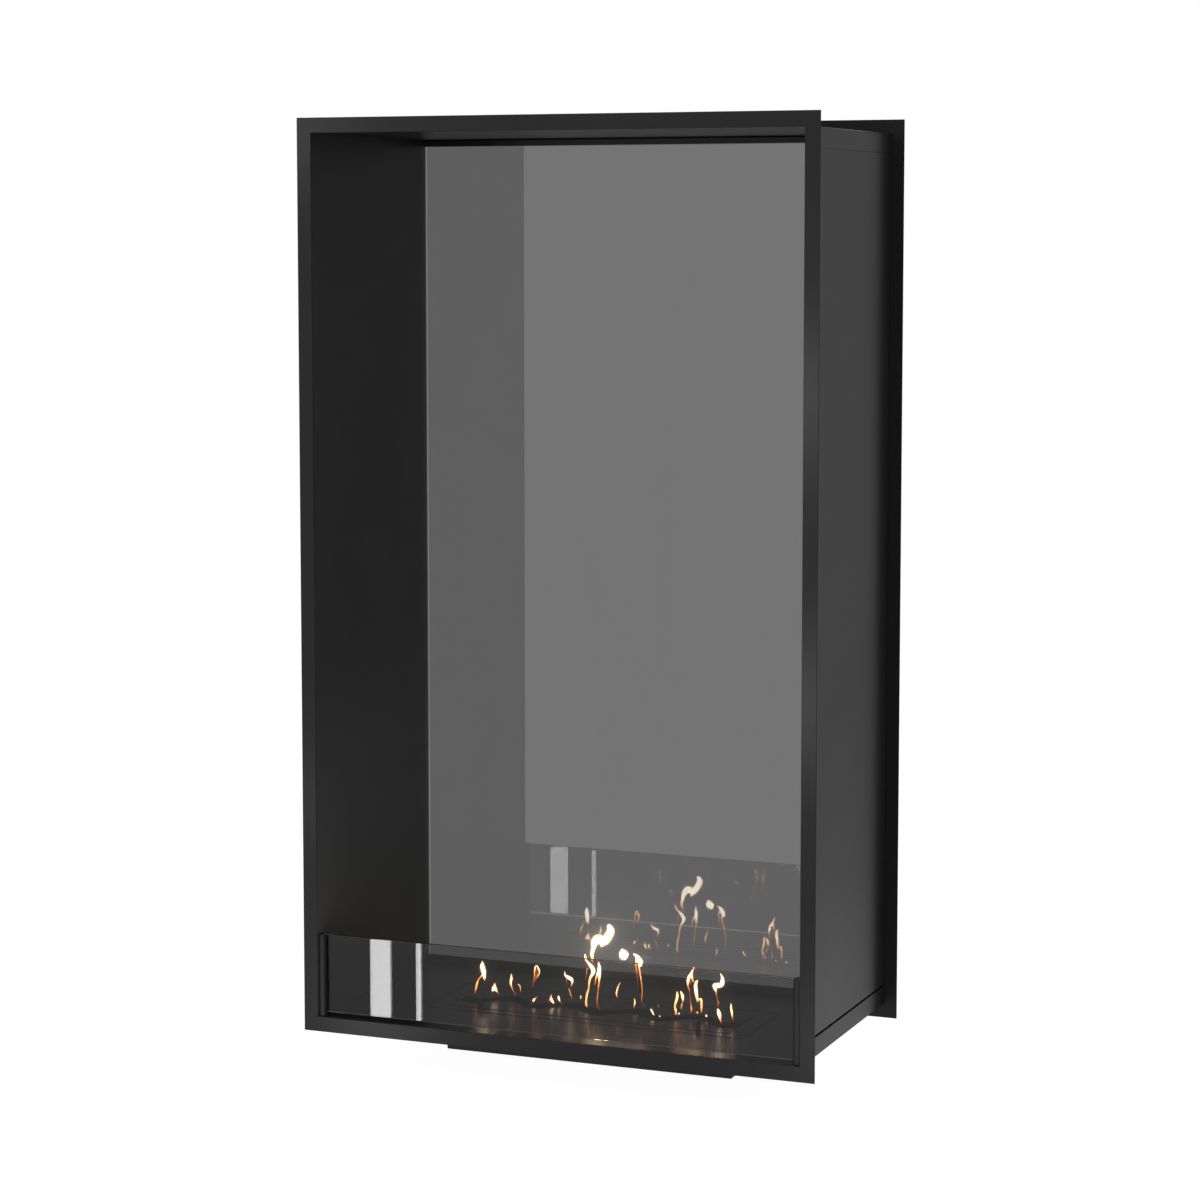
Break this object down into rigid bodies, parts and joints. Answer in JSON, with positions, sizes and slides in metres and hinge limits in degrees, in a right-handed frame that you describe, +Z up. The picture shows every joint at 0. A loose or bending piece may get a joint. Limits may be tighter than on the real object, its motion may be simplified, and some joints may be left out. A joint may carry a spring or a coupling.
{
  "type": "double-sided fireplace",
  "caption": "Tall double-sided built-in fireplace of black sheet steel: smoked glass at the back, a low glass in front and a drop-in ethanol burner with a wavy slot.",
  "frame": {"origin": "middle of the shell in X and Y, at the underside of the burner housing", "axes": "+Z up, the front opening looks along -Y, +X to the right seen from the front"},
  "size_m": [0.71, 0.354, 1.24],
  "materials": {
    "black_coat": "satin black powder coat",
    "skin_coat": "satin black powder coat, smoother and shinier",
    "liner_coat": "matt black heat-proof paint",
    "floor_coat": "semi-gloss black heat-proof paint",
    "burner_coat": "semi-gloss black heat-proof paint",
    "knob_coat": "matt black",
    "rear_smoked_glass": "polished, dark smoke tint",
    "low_smoked_glass": "polished, light smoke tint",
    "black_seal": "matt black silicone",
    "stainless": "brushed stainless",
    "fibre": "matt white ceramic fibre"
  },
  "bodies": {
    "shell": {"front_frame": "black_coat", "rear_frame": "black_coat", "front_frame_lips": "skin_coat", "rear_frame_lips": "skin_coat", "floor_panel": "floor_coat", "ceiling_panel": "liner_coat", "left_liner": "liner_coat", "right_liner": "liner_coat", "bottom_tray": "skin_coat", "top_cap": "skin_coat", "left_side_panel": "skin_coat", "right_side_panel": "skin_coat", "rear_glass": "rear_smoked_glass", "rear_top_rail": "black_coat", "rear_bottom_rail": "black_coat", "rear_top_seals": "black_seal", "rear_bottom_seals": "black_seal", "rear_glass_blocks": "black_seal", "left_glass_holder": "black_coat", "right_glass_holder": "black_coat", "left_holder_seals": "black_seal", "right_holder_seals": "black_seal", "low_glass_rests": "black_seal"},
    "front_pane": {"low_glass": "low_smoked_glass"},
    "burner": {"burner_flange": "burner_coat", "burner_housing": "skin_coat", "burner_deck": "burner_coat", "rear_wave_plate": "burner_coat", "fuel_tank": "stainless", "ceramic_fibre": "fibre", "insulation_mat": "fibre"},
    "damper": {"front_wave_plate": "burner_coat", "left_knob": "knob_coat", "right_knob": "knob_coat", "knob_screws": "stainless", "knob_washers": "stainless"}
  },
  "joints": [
    {"name": "burner_lift", "type": "slide", "parent": "shell", "child": "burner", "axis": [0, 0, 1], "range_m": [0, 0.12]},
    {"name": "damper_slide", "type": "slide", "parent": "burner", "child": "damper", "axis": [0, 1, 0], "range_m": [0, 0.0154]},
    {"name": "low_glass_lift", "type": "slide", "parent": "shell", "child": "front_pane", "axis": [0, 0, 1], "range_m": [0, 0.11]}
  ]
}
